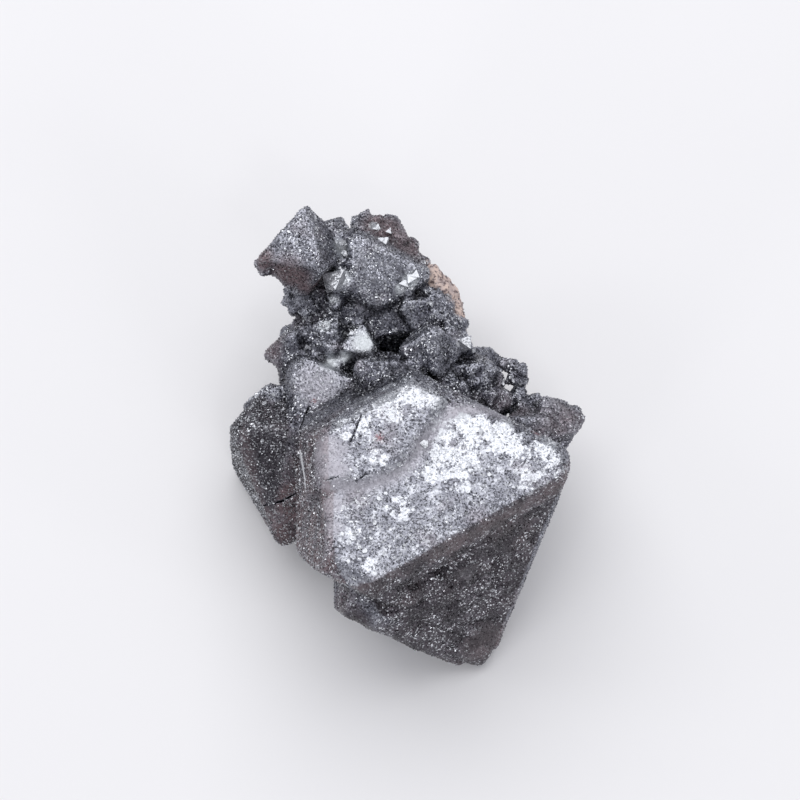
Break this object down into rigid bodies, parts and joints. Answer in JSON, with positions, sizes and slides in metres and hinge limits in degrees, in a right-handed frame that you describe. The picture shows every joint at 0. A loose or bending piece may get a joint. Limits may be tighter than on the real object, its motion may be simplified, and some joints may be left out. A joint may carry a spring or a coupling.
{
  "type": "hematite pseudomorph specimen",
  "caption": "Cluster of octahedral crystals replaced by glittering steel-grey hematite, one large crystal with smaller ones grown behind it, lying on its flat rear face.",
  "frame": {"origin": "middle of the footprint's box, on the surface that the specimen lies on", "axes": "+Z up, the direction that the large crystal's broad face looks; +Y from the large crystal towards the crust of small ones, the longest way; +X to the right seen from above with +Y up"},
  "size_m": [0.039, 0.0476, 0.0243],
  "materials": {
    "hematite": "metallic, finely crystalline, glittering",
    "host_rock": "dull, granular"
  },
  "bodies": {
    "root": {"crystal_cluster": "hematite", "matrix_chip": "host_rock"}
  },
  "joints": []
}
